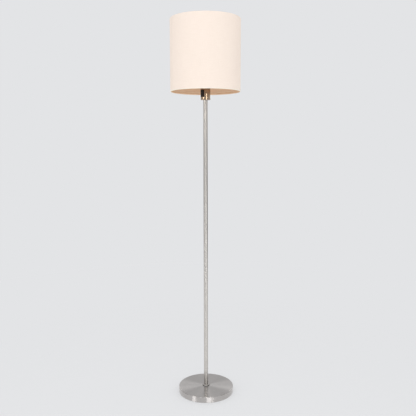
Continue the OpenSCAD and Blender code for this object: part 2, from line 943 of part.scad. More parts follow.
module holder_dome() {
    color(black_plastic)
        translate([0, 0, skirt_z])
            mirror([0, 0, 1])
                rotate_extrude(convexity = 4)
                    difference() {
                        drum_half(dome_r, dome_h, 4);
                        translate([0, -past])
                            drum_half(dome_r - dome_wall, dome_h - dome_floor_t + past, 2);
                        square([tube_d / 2 + thread_fit, dome_h + past]);
                    }
}

module holder_carrier() {
    color(white_plastic)
        translate([0, 0, carrier_z])
            difference() {
                cylinder(r = carrier_r, h = carrier_t);
                for (side = [-1, 1])
                    translate([side * holder_screw_x, 0, -past])
                        cylinder(d = holder_screw_d + 2 * thread_fit, h = carrier_t + 2 * past);
            }
}

module holder_screws() {
    head_t = 2;
    slot_w = 0.6;
    slot_depth = 0.7;
    color(zinc)
        for (side = [-1, 1])
            translate([side * holder_screw_x, 0, carrier_z])
                difference() {
                    union() {
                        translate([0, 0, -head_t]) cylinder(d = 3.2, h = head_t);
                        translate([0, 0, -0.5]) cylinder(d = holder_screw_d, h = carrier_t);
                    }
                    translate([-head_t, -slot_w / 2, -head_t - past])
                        cube([2 * head_t, slot_w, past + slot_depth]);
                }
}

module centre_contact() {
    t = strip_t;
    z = carrier_top_z;
    top = contact_top_z;
    color(bronze)
        rotate([90, 0, 0])
            linear_extrude(strip_w, center = true)
                polygon([
                    [-11, z], [-5, z], [2, top - t], [4.5, top - t], [4.5, top], [1.8, top],
                    [-5.2, z + t], [-11, z + t]
                ]);
}

module side_contact() {
    contact_y = cap_r + 0.15;
    foot_y = contact_y - 5;
    z = carrier_top_z;
    top_z = z + 22;
    color(bronze)
        x_extrude(strip_w)
            polygon([
                [foot_y, z], [contact_y + strip_t, z], [contact_y + strip_t, top_z],
                [contact_y, top_z], [contact_y, z + strip_t], [foot_y, z + strip_t]
            ]);
}

module holder_skirt() {
    neck_depth = 8;
    slot_w = strip_w + 0.6;
    color(black_plastic)
        difference() {
            translate([0, 0, skirt_z]) cylinder(r = skirt_r, h = skirt_h);
            translate([0, 0, skirt_z - past])
                cylinder(r = carrier_r + slip_fit, h = carrier_top_z - skirt_z + past + slip_fit);
            translate([0, 0, skirt_z]) cylinder(r = socket_r, h = skirt_h + past);
            translate([0, 0, skirt_z + skirt_h - neck_depth])
                cylinder(r = mouth_r, h = neck_depth + past);
            translate([-slot_w / 2, 0, skirt_z])
                cube([slot_w, cap_r + strip_t + 1, skirt_h - neck_depth]);
        }
}

// Shade

module shade_lock_ring() {
    flange_t = 2;
    flange_w = 2;
    groove_d = 2.4;
    color(black_plastic)
        translate([0, 0, rim_z + fitter_t])
            difference() {
                union() {
                    cylinder(d = lock_ring_d, h = flange_t);
                    cylinder(d = lock_ring_d - 2 * flange_w, h = lock_ring_h);
                }
                translate([0, 0, -past])
                    cylinder(r = skirt_r + slip_fit, h = lock_ring_h + 2 * past);
                for (i = [1 : lock_ring_grooves])
                    rotate(360 * i / lock_ring_grooves)
                        translate([lock_ring_d / 2 - flange_w, 0, flange_t])
                            cylinder(d = groove_d, h = lock_ring_h);
            }
}

module fitter_ring() {
    color(zinc) translate([0, 0, rim_z]) washer(fitter_d, 2 * fitter_in_r, fitter_t);
}

module spider_arms() {
    color(white_plastic)
        for (i = [0 : arm_count - 1])
            rotate(arm_turn - 90 + 360 * i / arm_count) sweep(arm_route, wire_d, 12);
}

// A ring of wire in the plane at height z
module wire_ring(z) {
    color(zinc) translate([0, 0, z]) rotate_extrude() translate([ring_r, 0]) circle(wire_r);
}

module shade_lower_ring() {
    wire_ring(ring_z);
}

module shade_upper_ring() {
    wire_ring(shade_top_z - fold_r);
}

// Half section of the fabric folded round a ring, with the ring's middle at z = 0
module hem_half() {
    lap_r = liner_in_r - weld_gap;
    lap_z = wire_d + 3;
    knee_z = wire_r * 2 / 3;
    inner_r = ring_r - fold_r;
    union() {
        translate([ring_r, 0])
            difference() {
                circle(fold_r);
                circle(fold_in_r);
                translate([-fold_r - past, 0]) square([2 * (fold_r + past), fold_r + past]);
            }
        polygon([
            [inner_r, 0], [inner_r + fabric_t, 0], [inner_r + fabric_t, knee_z],
            [lap_r, lap_z], [lap_r, hem_h], [lap_r - fabric_t, hem_h],
            [lap_r - fabric_t, lap_z], [inner_r, knee_z]
        ]);
    }
}

module shade_fabric() {
    wall_h = shade_h - 2 * fold_r;
    seam_angle = seam_w / shade_r * 180 / PI;
    color(linen)
        difference() {
            union() {
                rotate_extrude(convexity = 6)
                    union() {
                        translate([shade_r - fabric_t, ring_z]) square([fabric_t, wall_h]);
                        translate([0, ring_z]) hem_half();
                        translate([0, ring_z + wall_h]) mirror([0, 1]) hem_half();
                    }
                rotate(90 - seam_angle / 2)
                    rotate_extrude(angle = seam_angle)
                        translate([shade_r - fabric_t / 2, ring_z])
                            square([fabric_t / 2 + seam_t, wall_h]);
            }
            for (i = [0 : arm_count - 1])
                rotate(arm_turn - 90 + 360 * i / arm_count)
                    translate([0, arm_end_r, arm_end_z])
                        rotate([-arm_slope, 0, 0])
                            translate([0, -notch_l, 0])
                                y_cylinder(wire_d + 2 * notch_fit, notch_l + hem_gap);
        }
}

module shade_liner() {
    color(lining)
        translate([0, 0, shade_z + liner_end])
            washer(
                2 * (shade_r - fabric_t - weld_gap), 2 * liner_in_r, shade_h - 2 * liner_end
            );
}

// Bulb

// Half section of the glass, drawn smaller by inset
module glass_half(inset) {
    r = bulb_r - inset;
    intersection() {
        difference() {
            union() {
                translate([0, bulb_mid_z]) circle(r);
                polygon([
                    [0, glass_z - past], [neck_r - inset, glass_z - past],
                    [neck_r - inset, waist_z],
                    [waist_x * r / (bulb_r + bulb_waist_r),
                        bulb_mid_z - waist_drop * r / (bulb_r + bulb_waist_r)],
                    [0, bulb_mid_z]
                ]);
            }
            translate([waist_x, waist_z]) circle(bulb_waist_r + inset);
        }
        translate([0, glass_z]) square([bulb_d, bulb_l]);
    }
}

module bulb_glass() {
    color([0.97, 0.96, 0.93])
        rotate_extrude(convexity = 4)
            difference() {
                glass_half(0);
                glass_half(glass_t);
            }
}

module bulb_cap() {
    low = bulb_z + foot_t + vitrite_h;
    ridges = 4;
    valley = 0.9;
    top = bulb_z + cap_l;
    seat_z = glass_z - slip_fit;
    collar_r = neck_r + slip_fit;
    function ridge(i) = let (z = low + 1 + i * thread_pitch) [
        [cap_r - valley, z], [cap_r, z + thread_pitch * 0.35], [cap_r, z + thread_pitch * 0.6]
    ];
    color(zinc)
        rotate_extrude(convexity = 6)
            polygon([
                [cap_r - 3, low], [cap_r - valley, low],
                for (i = [0 : ridges - 1], p = ridge(i)) p,
                [cap_r - valley, low + 1 + ridges * thread_pitch],
                [collar_r + cap_wall, seat_z], [collar_r + cap_wall, top], [collar_r, top],
                [collar_r, seat_z], [collar_r - 1, seat_z],
                [cap_r - valley - cap_wall, seat_z - 2], [cap_r - valley - cap_wall, low + 1],
                [cap_r - 3, low + 1]
            ]);
}

module bulb_insulator() {
    color([0.08, 0.08, 0.10])
        translate([0, 0, bulb_z + foot_t])
            difference() {
                cylinder(r1 = 6, r2 = cap_r - 1.5, h = vitrite_h);
                translate([0, 0, -past]) cylinder(r = 1, h = vitrite_h + 2 * past);
            }
}

module bulb_contact() {
    color(zinc) translate([0, 0, bulb_z]) cylinder(r1 = 3.4, r2 = 4.8, h = foot_t);
}

// Leads

module lead_live() {
    color([0.45, 0.26, 0.16]) sweep(live_route, lead_d, 8);
}

module lead_neutral() {
    color([0.20, 0.36, 0.66]) sweep(neutral_route, lead_d, 8);
}

module lead_switched() {
    color([0.45, 0.26, 0.16]) sweep(switched_route, lead_d, 8);
}

module lead_earth() {
    color([0.45, 0.68, 0.22]) sweep(earth_route, lead_d, 8);
}

base_cover();
base_weight();
base_pad();
base_washer();
earth_tag();
base_lock_washer();
base_nut();
base_stud();
cord_inlet_bush();
terminal_block();
terminal_sleeves();
terminal_screws();
block_screw();
foot_washer();
pole_lower();
pole_middle();
pole_upper();
pole_inserts();
pole_nipples();
cup_nipple();
cup_lock_washer();
cup_nut();
switch_cup();
cup_lid();
switch_body();
switch_rocker();
switch_plunger();
switch_spring();
switch_blade();
switch_terminals();
holder_nipple();
holder_lock_washer();
holder_nut();
holder_dome();
holder_carrier();
centre_contact();
side_contact();
holder_screws();
holder_skirt();
shade_lock_ring();
fitter_ring();
spider_arms();
shade_lower_ring();
shade_upper_ring();
shade_fabric();
shade_liner();
bulb_glass();
bulb_cap();
bulb_insulator();
bulb_contact();
lead_live();
lead_neutral();
lead_switched();
lead_earth();
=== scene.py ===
import bpy
import math
from mathutils import Matrix, Vector, noise


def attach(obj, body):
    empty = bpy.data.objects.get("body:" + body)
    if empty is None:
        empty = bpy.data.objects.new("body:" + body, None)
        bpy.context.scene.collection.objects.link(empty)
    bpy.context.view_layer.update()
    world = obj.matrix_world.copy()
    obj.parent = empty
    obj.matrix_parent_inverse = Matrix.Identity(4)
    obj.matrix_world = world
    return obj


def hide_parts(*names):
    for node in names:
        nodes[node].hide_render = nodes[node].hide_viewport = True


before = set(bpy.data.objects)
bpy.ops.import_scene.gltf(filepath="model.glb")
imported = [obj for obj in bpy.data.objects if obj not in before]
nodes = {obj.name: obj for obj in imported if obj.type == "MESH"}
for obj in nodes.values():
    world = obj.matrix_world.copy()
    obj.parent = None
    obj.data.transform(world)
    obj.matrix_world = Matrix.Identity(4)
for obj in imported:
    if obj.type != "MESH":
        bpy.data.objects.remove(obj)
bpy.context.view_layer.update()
print("frame loaded:", len(nodes), "nodes")


# shader maths written as Python: one socket with its operators
class Wire:
    def __init__(self, finish, socket):
        self.finish = finish
        self.socket = socket

    # another output of the same node
    def also(self, output):
        return Wire(self.finish, self.socket.node.outputs[output])

    def maths(self, operation, *values):
        return self.finish.node("ShaderNodeMath", {"operation": operation}, dict(enumerate(values)))

    def __add__(self, other):
        return self.maths("ADD", self, other)

    def __radd__(self, other):
        return self.maths("ADD", other, self)

    def __sub__(self, other):
        return self.maths("SUBTRACT", self, other)

    def __rsub__(self, other):
        return self.maths("SUBTRACT", other, self)

    def __mul__(self, other):
        return self.maths("MULTIPLY", self, other)

    def __rmul__(self, other):
        return self.maths("MULTIPLY", other, self)

    def __truediv__(self, other):
        return self.maths("DIVIDE", self, other)

    def __rtruediv__(self, other):
        return self.maths("DIVIDE", other, self)

    def __pow__(self, other):
        return self.maths("POWER", self, other)

    def __rpow__(self, other):
        return self.maths("POWER", other, self)

    def __abs__(self):
        return self.maths("ABSOLUTE", self)


class Finish:
    def __init__(self, name, tree=None):
        if tree is None:
            self.material = bpy.data.materials.new(name)
            self.material.use_nodes = True
            tree = self.material.node_tree
        self.tree = tree
        self.tree.nodes.clear()

    # any node: its type, its settings, then the values or wires of its sockets
    def node(self, kind, settings=None, sockets=None, output=0):
        made = self.tree.nodes.new(kind)
        for name, value in (settings or {}).items():
            setattr(made, name, value)
        for key, value in (sockets or {}).items():
            if isinstance(value, Wire):
                self.tree.links.new(value.socket, made.inputs[key])
            else:
                made.inputs[key].default_value = value
        return Wire(self, made.outputs[output]) if made.outputs else None

    # the point's own x, y and z in metres
    def place(self):
        split = self.node("ShaderNodeSeparateXYZ", {}, {
            0: self.node("ShaderNodeTexCoord", {}, {}, "Object")})
        return split.also("X"), split.also("Y"), split.also("Z")

    def join(self, x, y, z):
        return self.node("ShaderNodeCombineXYZ", {}, {0: x, 1: y, 2: z})

    def noise(self, vector, scale=1.0, detail=2.0, rough=0.5):
        return self.node("ShaderNodeTexNoise", {}, {
            "Vector": vector, "Scale": scale, "Detail": detail, "Roughness": rough})

    # noise with a rate of its own each way, and the row that it is taken from
    def waves(self, across, up, rates, detail=2.0, rough=0.5):
        spread = self.join(across * rates[0], up * rates[1], rates[2])
        return self.noise(spread, detail=detail, rough=rough)

    # angle of one value over another, such as round the pole
    def angle(self, top, bottom):
        return self.node("ShaderNodeMath", {"operation": "ARCTAN2"}, {0: top, 1: bottom})

    # value between two limits becomes low to high, eased at both ends
    def ease(self, value, start, end, low=0.0, high=1.0):
        return self.node("ShaderNodeMapRange", {"interpolation_type": "SMOOTHSTEP"}, {
            0: value, 1: start, 2: end, 3: low, 4: high})

    def mix(self, factor, first, second):
        return self.node("ShaderNodeMix", {"data_type": "RGBA"}, {
            0: factor, 6: first, 7: second}, 2)

    def bump(self, height, strength, depth):
        return self.node("ShaderNodeBump", {}, {
            "Height": height, "Strength": strength, "Distance": depth}, "Normal")

    def glow(self, colour, strength):
        return self.node("ShaderNodeEmission", {}, {"Color": colour, "Strength": strength})

    def surface(self, **sockets):
        named = {key.replace("_", " "): value for key, value in sockets.items()}
        self.output(self.node("ShaderNodeBsdfPrincipled", {}, named))
        return self.material

    def output(self, shader, kind="ShaderNodeOutputMaterial"):
        self.node(kind, {}, {"Surface": shader})


# a colour given as it shows on a screen, 0 to 255
def tint(red, green, blue):
    def linear(value):
        value = value / 255
        return value / 12.92 if value <= 0.04045 else ((value + 0.055) / 1.055) ** 2.4
    return (linear(red), linear(green), linear(blue), 1.0)


def scaled(shade, factor):
    return tuple(min(1.0, value * factor) for value in shade[:3]) + (1.0,)


def addObject(name, data):
    made = bpy.data.objects.new(name, data)
    bpy.context.scene.collection.objects.link(made)
    return made


def newMesh(name, points, faces, material):
    mesh = bpy.data.meshes.new(name)
    mesh.from_pydata(points, [], faces)
    mesh.materials.append(material)
    return mesh


# camera, on the photo's own view of the lamp
view = {
    "azimuth": 39.0,      # degrees round the pole, from the switch's side
    "distance": 2.324,    # from the pole's axis, level
    "height": 1.117,
    "pitch": 6.83,        # degrees down
    "yaw": 0.25,
    "roll": -0.09,
    "lens": 46.21,
    "sensor": 36,
    "farthest": 50,
}


# a spot round the pole: degrees from the camera, then metres from the axis and up
def spotAt(azimuth, distance, height=0.0):
    around = math.radians(view["azimuth"] + azimuth)
    return Vector((distance * math.sin(around), -distance * math.cos(around), height))


camera = addObject("camera", bpy.data.cameras.new("camera"))
camera.matrix_world = (
    Matrix.Translation(spotAt(0, view["distance"], view["height"]))
    @ Matrix.Rotation(math.radians(view["azimuth"]) - math.radians(view["yaw"]), 4, "Z")
    @ Matrix.Rotation(math.radians(90 - view["pitch"]), 4, "X")
    @ Matrix.Rotation(math.radians(view["roll"]), 4, "Z"))
camera.data.sensor_width = view["sensor"]
camera.data.lens = view["lens"]
camera.data.clip_end = view["farthest"]
bpy.context.scene.camera = camera
bpy.context.scene.view_settings.view_transform = "Standard"

# world: the backdrop's own tone to the eye and in reflections, plain white light otherwise
studio = {
    "backdrop": tint(227, 228, 230),
    "plainLight": 0.85,
    "aimLow": 0.35,      # a light faces this height plus a share of its own
    "aimShare": 0.6,
    # each light: azimuth from the camera, height, distance, width, height of its face, watts
    "soft": {
        "keyLight": (-5, 1.75, 3.0, 3.4, 1.6, 21.4)},
    # narrow lights that only metal and gloss show
    "gloss": {
        "leftLow": (-44, 0.30, 1.9, 0.24, 0.6, 2.0),
        "rightLow": (23, 0.42, 1.9, 0.40, 0.8, 3.4),
        "leftHigh": (-46, 1.46, 1.9, 0.32, 0.10, 2.2),
        "rightHigh": (25, 1.45, 1.9, 0.32, 0.10, 2.6),
        "leftBack": (-152, 1.35, 2.6, 0.9, 0.9, 2.4),
        "rightBack": (152, 1.35, 2.6, 0.9, 0.9, 3.0),
        "topFront": (8, 2.5, 2.1, 0.30, 0.8, 14.0)},
    "warm": (1.0, 0.93, 0.85),      # colour of the two High lights, which show in the cup
    # dark cards beside the lamp, only for the edges of its metal: azimuth, height, distance, sizes
    "cards": {
        "leftCard": (-102, 0.86, 1.3, 0.9, 0.96),
        "rightCard": (93, 0.86, 1.3, 1.4, 0.96)},
    "cardTones": (tint(128, 126, 124), tint(140, 138, 136)),
    # bright strips on the floor that run out from the foot's rim, only seen in the metal:
    # azimuth at the rim, azimuth that they run to, length, width at the rim and far out, strength
    "strips": {
        "leftStrip": (-27.5, -49, 0.95, 0.014, 0.23, 2.2),
        "rightStrip": (5.0, 15.5, 0.95, 0.020, 0.30, 2.4)},
    "stripStart": 0.1255,    # radius at which they begin
    "stripHeight": 0.0004,
}
world = bpy.data.worlds.new("studio")
world.use_nodes = True
bpy.context.scene.world = world
air = Finish("studio", world.node_tree)
ray = air.node("ShaderNodeLightPath", {}, {}, "Is Camera Ray")
seen = ray.maths("MAXIMUM", ray, ray.also("Is Glossy Ray"))
seen = ray.maths("MAXIMUM", seen, ray.also("Is Transmission Ray"))
plain = air.node("ShaderNodeBackground", {}, {"Color": (1, 1, 1, 1), "Strength": studio["plainLight"]})
toned = air.node("ShaderNodeBackground", {}, {"Color": studio["backdrop"], "Strength": 1.0})
air.output(
    air.node("ShaderNodeMixShader", {}, {0: seen, 1: plain, 2: toned}), "ShaderNodeOutputWorld")


# set at its place, facing the lamp, and left out of the camera's own view
def aim(made, azimuth, height, distance):
    made.location = spotAt(azimuth, distance, height)
    target = Vector((0, 0, height * studio["aimShare"] + studio["aimLow"]))
    made.rotation_mode = "QUATERNION"
    made.rotation_quaternion = (target - made.location).to_track_quat("-Z", "Y")
    made.visible_camera = False


def addLight(name, azimuth, height, distance, width, tall, watts):
    light = bpy.data.lights.new(name, "AREA")
    light.shape = "RECTANGLE"
    light.size = width
    light.size_y = tall
    light.energy = watts
    made = addObject(name, light)
    aim(made, azimuth, height, distance)
    return made


for name, values in studio["soft"].items():
    addLight(name, *values).visible_glossy = False
for name, values in studio["gloss"].items():
    made = addLight(name, *values)
    made.visible_diffuse = False
    if name.endswith("High"):
        made.data.color = studio["warm"]

card = Finish("darkCard")
felt = card.noise(card.join(*card.place()), scale=40.0, detail=3.0)
card.surface(
    Base_Color=card.mix(felt, *studio["cardTones"]),
    Roughness=0.95,
    Specular_IOR_Level=0.1)
for name, (azimuth, height, distance, width, tall) in studio["cards"].items():
    corners = [(a * width / 2, b * tall / 2, 0) for a, b in ((-1, -1), (1, -1), (1, 1), (-1, 1))]
    made = addObject(name, newMesh(name, corners, [(0, 1, 2, 3)], card.material))
    aim(made, azimuth, height, distance)
    made.visible_diffuse = False
    made.visible_shadow = False

for name, (start, run, length, near, far, strength) in studio["strips"].items():
    shine = Finish(name)
    shine.output(shine.glow(studio["backdrop"], strength))
    rim = spotAt(start, 1) * studio["stripStart"]
    onward = spotAt(run, 1)
    aside = Vector((-onward.y, onward.x, 0))
    end = rim + onward * length
    corners = [
        rim - aside * near / 2, rim + aside * near / 2, end + aside * far / 2, end - aside * far / 2]
    made = addObject(name, newMesh(
        name, [(c.x, c.y, studio["stripHeight"]) for c in corners], [(0, 1, 2, 3)], shine.material))
    made.visible_camera = False
    made.visible_diffuse = False
    made.visible_shadow = False

# floor: pale, fading into the backdrop with no line
floorLook = {
    "radius": 2.6,
    "sides": 128,
    "height": -0.0002,
    "solidTo": 0.55,
    "goneAt": 1.7,
    "colour": tint(239, 240, 242),
    "mottle": 0.985,        # darkest share of that colour
    "evenShare": 0.55,      # share that shows the backdrop's own tone, the rest takes the shadow
    "mirroredShare": 0.95,  # the same in reflections
    "mirroredStrength": 1.27,
}
bpy.ops.mesh.primitive_circle_add(
    vertices=floorLook["sides"], radius=floorLook["radius"], fill_type="NGON",
    location=(0, 0, floorLook["height"]))
floor = bpy.context.object
floor.name = "floor"
ground = Finish("floor")
x, y, z = ground.place()
out = (x * x + y * y) ** 0.5
grain = ground.noise(ground.join(x, y, 0.0), scale=6.0, detail=3.0)
matt = ground.node("ShaderNodeBsdfPrincipled", {}, {
    "Base Color": ground.mix(
        grain, floorLook["colour"], scaled(floorLook["colour"], floorLook["mottle"])),
    "Roughness": 0.85,
    "Specular IOR Level": 0.0,
    "Alpha": ground.ease(out, floorLook["solidTo"], floorLook["goneAt"], 1.0, 0.0)})
even = ground.glow(studio["backdrop"], 1.0)
bright = ground.glow(studio["backdrop"], floorLook["mirroredStrength"])
ray = ground.node("ShaderNodeLightPath", {}, {}, "Is Camera Ray")
mirrored = ray.maths("MAXIMUM", ray.also("Is Glossy Ray"), ray.also("Is Transmission Ray"))
faced = ground.node("ShaderNodeMixShader", {}, {0: ray * floorLook["evenShare"], 1: matt, 2: even})
above = ground.node("ShaderNodeMixShader", {}, {
    0: mirrored * floorLook["mirroredShare"], 1: faced, 2: bright})
under = ground.node("ShaderNodeNewGeometry", {}, {}, "Backfacing")
clear = ground.node("ShaderNodeBsdfTransparent")    # seen through from below
ground.output(ground.node("ShaderNodeMixShader", {}, {0: under, 1: above, 2: clear}))
floor.data.materials.append(ground.material)
print("camera, lights and floor made")


# brushed metals: lines per metre, their contrast and depth, and how far they stretch a highlight;
# edge is where the metal is knocked: radius, height and reach
metals = {
    "spunBase": {
        "tone": tint(184, 180, 177), "roughness": 0.32, "uneven": 0.13, "lines": 2600,
        "contrast": 0.05, "depth": 0.000018, "stretch": 0.97, "edge": (0.1216, 0.0251, 0.0014)},
    "brushedPole": {
        "tone": tint(190, 186, 181), "roughness": 0.28, "uneven": 0.02, "lines": 900,
        "contrast": 0.035, "depth": 0.0000005, "stretch": 0.7},
    # the cup's warm brown tone is a painted reflection of the warm inside of the shade above it
    "spunCup": {
        "tone": tint(168, 148, 126), "roughness": 0.21, "uneven": 0.03, "lines": 3000,
        "contrast": 0.05, "depth": 0.00002, "stretch": 0.5, "edge": (0.0204, 1.3046, 0.0010)},
}
brushing = {
    "offAxis": 0.00001,       # keeps the division off zero on the axis
    "fineRound": 2.6,         # how often a line changes on its way round
    "coarseRound": 1.2,
    "coarseLines": 0.11,      # coarse lines for each fine one
    "fineShare": 0.65,
    "coarseShare": 0.35,
    "handled": 0.03,          # roughness that handling adds in clouds
    "knocked": 0.14,          # and that knocks add at the edge
    "knockTone": 1.12,
}


# lines run round the pole's axis
def brushedMetal(name):
    look = metals[name]
    made = Finish(name)
    x, y, z = made.place()
    out = (x * x + y * y) ** 0.5 + brushing["offAxis"]
    along = out + z
    roundX, roundY = x / out, y / out
    fine, coarse = [
        made.noise(made.join(lines, roundX * turns, roundY * turns))
        for lines, turns in (
            (along * look["lines"], brushing["fineRound"]),
            (along * look["lines"] * brushing["coarseLines"], brushing["coarseRound"]))]
    cloudy = made.noise(made.join(x, y, z), scale=9.0, detail=3.0)
    streak = fine * brushing["fineShare"] + coarse * brushing["coarseShare"]
    worn = made.ease(cloudy, 0.55, 0.75) * brushing["handled"]
    plain = made.mix(
        made.ease(streak, 0.3, 0.7),
        scaled(look["tone"], 1 - look["contrast"]), scaled(look["tone"], 1 + look["contrast"]))
    if "edge" in look:
        radius, height, reach = look["edge"]
        away = ((out - radius) ** 2 + (z - height) ** 2) ** 0.5
        dents = made.noise(made.join(x, y, z), scale=240.0, detail=4.0, rough=0.65)
        knock = made.ease(dents, 0.56, 0.66) * made.ease(away, reach, reach * 2, 1.0, 0.0)
        worn = worn + knock * brushing["knocked"]
        plain = made.mix(knock * 0.5, plain, scaled(look["tone"], brushing["knockTone"]))
    return made.surface(
        Base_Color=plain,
        Metallic=1.0,
        Roughness=look["roughness"] + (streak - 0.5) * look["uneven"] + worn,
        Anisotropic=look["stretch"],
        Anisotropic_Rotation=0.25,
        Coat_Weight=0.04,
        Coat_Roughness=0.2,
        Normal=made.bump(fine, 0.07, look["depth"]))


plating = {
    "dark": 0.88,             # shares of the tone between which it is mottled
    "light": 1.06,
    "uneven": 0.15,
    "fleckDepth": 0.00003,
    "threadDepth": 0.00025,
}


# plated small parts: a little mottled, with a thread where a pitch is given
def platedMetal(name, shade, roughness, pitch=None):
    made = Finish(name)
    x, y, z = made.place()
    mottle = made.noise(made.join(x, y, z), scale=420.0, detail=4.0, rough=0.6)
    height = made.noise(made.join(x, y, z), scale=2200.0) * 0.2
    depth = plating["fleckDepth"]
    if pitch:
        wound = made.angle(y, x) + z * (2 * math.pi / pitch)
        height = height + wound.maths("SINE", wound)
        depth = plating["threadDepth"]
    return made.surface(
        Base_Color=made.mix(mottle, scaled(shade, plating["dark"]), scaled(shade, plating["light"])),
        Metallic=1.0,
        Roughness=roughness + mottle * plating["uneven"],
        Normal=made.bump(height, 0.5, depth))


moulding = {
    "dark": 0.9,              # shares of the tone between which handling changes it
    "light": 1.12,
    "uneven": 0.14,
    "coatRoughness": 0.12,
}


# moulded or enamelled parts; grain is per metre
def plastic(name, shade, roughness, grain, depth, coat=0.0, gloss=0.5):
    made = Finish(name)
    x, y, z = made.place()
    spark = made.noise(made.join(x, y, z), scale=grain, detail=3.0, rough=0.6)
    handled = made.noise(made.join(x, y, z), scale=160.0, detail=3.0)
    return made.surface(
        Base_Color=made.mix(
            handled, scaled(shade, moulding["dark"]), scaled(shade, moulding["light"])),
        Roughness=roughness + (handled - 0.5) * moulding["uneven"],
        Specular_IOR_Level=gloss,
        Coat_Weight=coat,
        Coat_Roughness=moulding["coatRoughness"],
        Normal=made.bump(spark, 0.35, depth))


iron = {
    "tones": (tint(62, 62, 64), tint(84, 84, 86)),
    "rust": tint(92, 76, 64),
    "rustFrom": 0.58,         # share of the lumps above which there is a little rust
    "rustFull": 0.72,
}


def castIron():
    made = Finish("castWeight")
    x, y, z = made.place()
    sand = made.noise(made.join(x, y, z), scale=900.0, detail=4.0, rough=0.65)
    lump = made.noise(made.join(x, y, z), scale=60.0, detail=3.0)
    rusty = made.ease(lump, iron["rustFrom"], iron["rustFull"])
    return made.surface(
        Base_Color=made.mix(rusty, made.mix(sand, *iron["tones"]), iron["rust"]),
        Metallic=0.2,
        Roughness=0.72 + (sand - 0.5) * 0.2,
        Normal=made.bump(sand * 0.6 + lump, 0.7, 0.0004))


opal = {
    "neckLow": 1.402,         # heights between which the neck's tone turns into the globe's
    "neckHigh": 1.428,
    "neckTone": tint(226, 222, 212),
    "globeTones": (tint(246, 244, 238), tint(250, 249, 245)),
    "glow": (0.01, 0.01, 0.009),    # how far light spreads in it, by colour
}


def opalGlass():
    made = Finish("opalGlass")
    x, y, z = made.place()
    haze = made.noise(made.join(x, y, z), scale=30.0, detail=3.0)
    globe = made.ease(z, opal["neckLow"], opal["neckHigh"])
    return made.surface(
        Base_Color=made.mix(globe, opal["neckTone"], made.mix(haze, *opal["globeTones"])),
        Roughness=0.16 + haze * 0.08,
        Subsurface_Weight=0.25,
        Subsurface_Radius=opal["glow"],
        Subsurface_Scale=0.4,
        Coat_Weight=0.35,
        Coat_Roughness=0.06,
        Normal=made.bump(haze, 0.06, 0.0002))


lining = {
    "radius": 0.149,
    # threads that show: how fast they change round and up, per metre, and their row of the noise
    "down": (900.0, 30.0, 0.0),
    "across": (30.0, 900.0, 7.0),
    # painted light: these warm tan tones stand for the glow coming in through the cream fabric
    "tones": (tint(236, 204, 173), tint(246, 218, 190)),
}


# lining film of the shade, seen from below: the fabric's threads show through it; its warm tan is
# painted light, the warm glow that comes in through the fabric
def liningFilm():
    made = Finish("shadeLining")
    x, y, z = made.place()
    along = made.angle(x, 0.0 - y) * lining["radius"]
    cloud = made.noise(made.join(x, y, z), scale=7.0, detail=3.0)
    threads = made.waves(along, z, lining["down"]) * 0.5 + made.waves(along, z, lining["across"]) * 0.5
    return made.surface(
        Base_Color=made.mix(made.ease(threads * 0.7 + cloud * 0.3, 0.3, 0.7), *lining["tones"]),
        Roughness=0.46 + (cloud - 0.5) * 0.1,
        Specular_IOR_Level=0.35,
        Normal=made.bump(threads, 0.25, 0.00005))


# each finish with the CAD nodes that have it; any other node is plain zinc
zincTone = tint(206, 208, 210)
finishes = {
    "spunBase": (brushedMetal("spunBase"), "base_cover"),
    "brushedPole": (brushedMetal("brushedPole"), "pole_lower pole_middle pole_upper"),
    "spunCup": (brushedMetal("spunCup"), "switch_cup"),
    "zinc": (platedMetal("zincPlate", zincTone, 0.22), ""),
    "zincThread": (
        platedMetal("zincThread", zincTone, 0.25, pitch=0.001),
        "base_stud pole_nipples cup_nipple holder_nipple"),
    "steelWire": (
        platedMetal("steelWire", tint(198, 199, 199), 0.28), "shade_lower_ring shade_upper_ring"),
    "brass": (
        platedMetal("turnedBrass", tint(212, 180, 112), 0.22),
        "switch_terminals terminal_sleeves earth_tag bulb_contact"),
    "bronze": (
        platedMetal("rolledBronze", tint(205, 160, 118), 0.28),
        "switch_blade centre_contact side_contact"),
    "aluminium": (platedMetal("rolledAluminium", tint(214, 214, 213), 0.26), "bulb_cap"),
    "blackPlastic": (
        plastic("blackPlastic", tint(36, 28, 22), 0.5, 2600.0, 0.00004, gloss=0.25),
        "cord_inlet_bush switch_body"),
    "blackGloss": (
        plastic("blackGloss", tint(30, 21, 15), 0.34, 900.0, 0.00001, coat=0.05, gloss=0.35),
        "switch_rocker"),
    "whitePlastic": (
        plastic("whitePlastic", tint(236, 233, 225), 0.42, 2400.0, 0.00003),
        "switch_plunger terminal_block holder_carrier"),
    "whiteEnamel": (
        plastic("whiteEnamel", tint(238, 236, 230), 0.26, 320.0, 0.00001, coat=0.35),
        "spider_arms fitter_ring"),
    "blackGlass": (
        plastic("blackGlass", tint(28, 28, 32), 0.14, 300.0, 0.00002, coat=0.6), "bulb_insulator"),
    "brownLead": (
        plastic("brownLead", tint(104, 66, 42), 0.45, 1800.0, 0.00003), "lead_live lead_switched"),
    "blueLead": (plastic("blueLead", tint(52, 92, 158), 0.45, 1800.0, 0.00003), "lead_neutral"),
    "greenLead": (plastic("greenLead", tint(118, 158, 52), 0.45, 1800.0, 0.00003), "lead_earth"),
    "washerRubber": (
        plastic("washerRubber", tint(62, 59, 57), 0.4, 2000.0, 0.00003, coat=0.15), "foot_washer"),
    "holderPlastic": (
        plastic("holderPlastic", tint(40, 37, 35), 0.46, 1800.0, 0.00003, gloss=0.4),
        "holder_dome holder_skirt shade_lock_ring"),
    "lining": (liningFilm(), "shade_liner"),
    "iron": (castIron(), "base_weight"),
    "opal": (opalGlass(), "bulb_glass"),
}
painted = {node: material for material, members in finishes.values() for node in members.split()}
for name, made in nodes.items():
    finish = painted.get(name, finishes["zinc"][0])
    for slot in made.material_slots:
        slot.material = finish
    if not made.material_slots:
        made.data.materials.append(finish)
print("materials assigned to", len(nodes), "nodes")


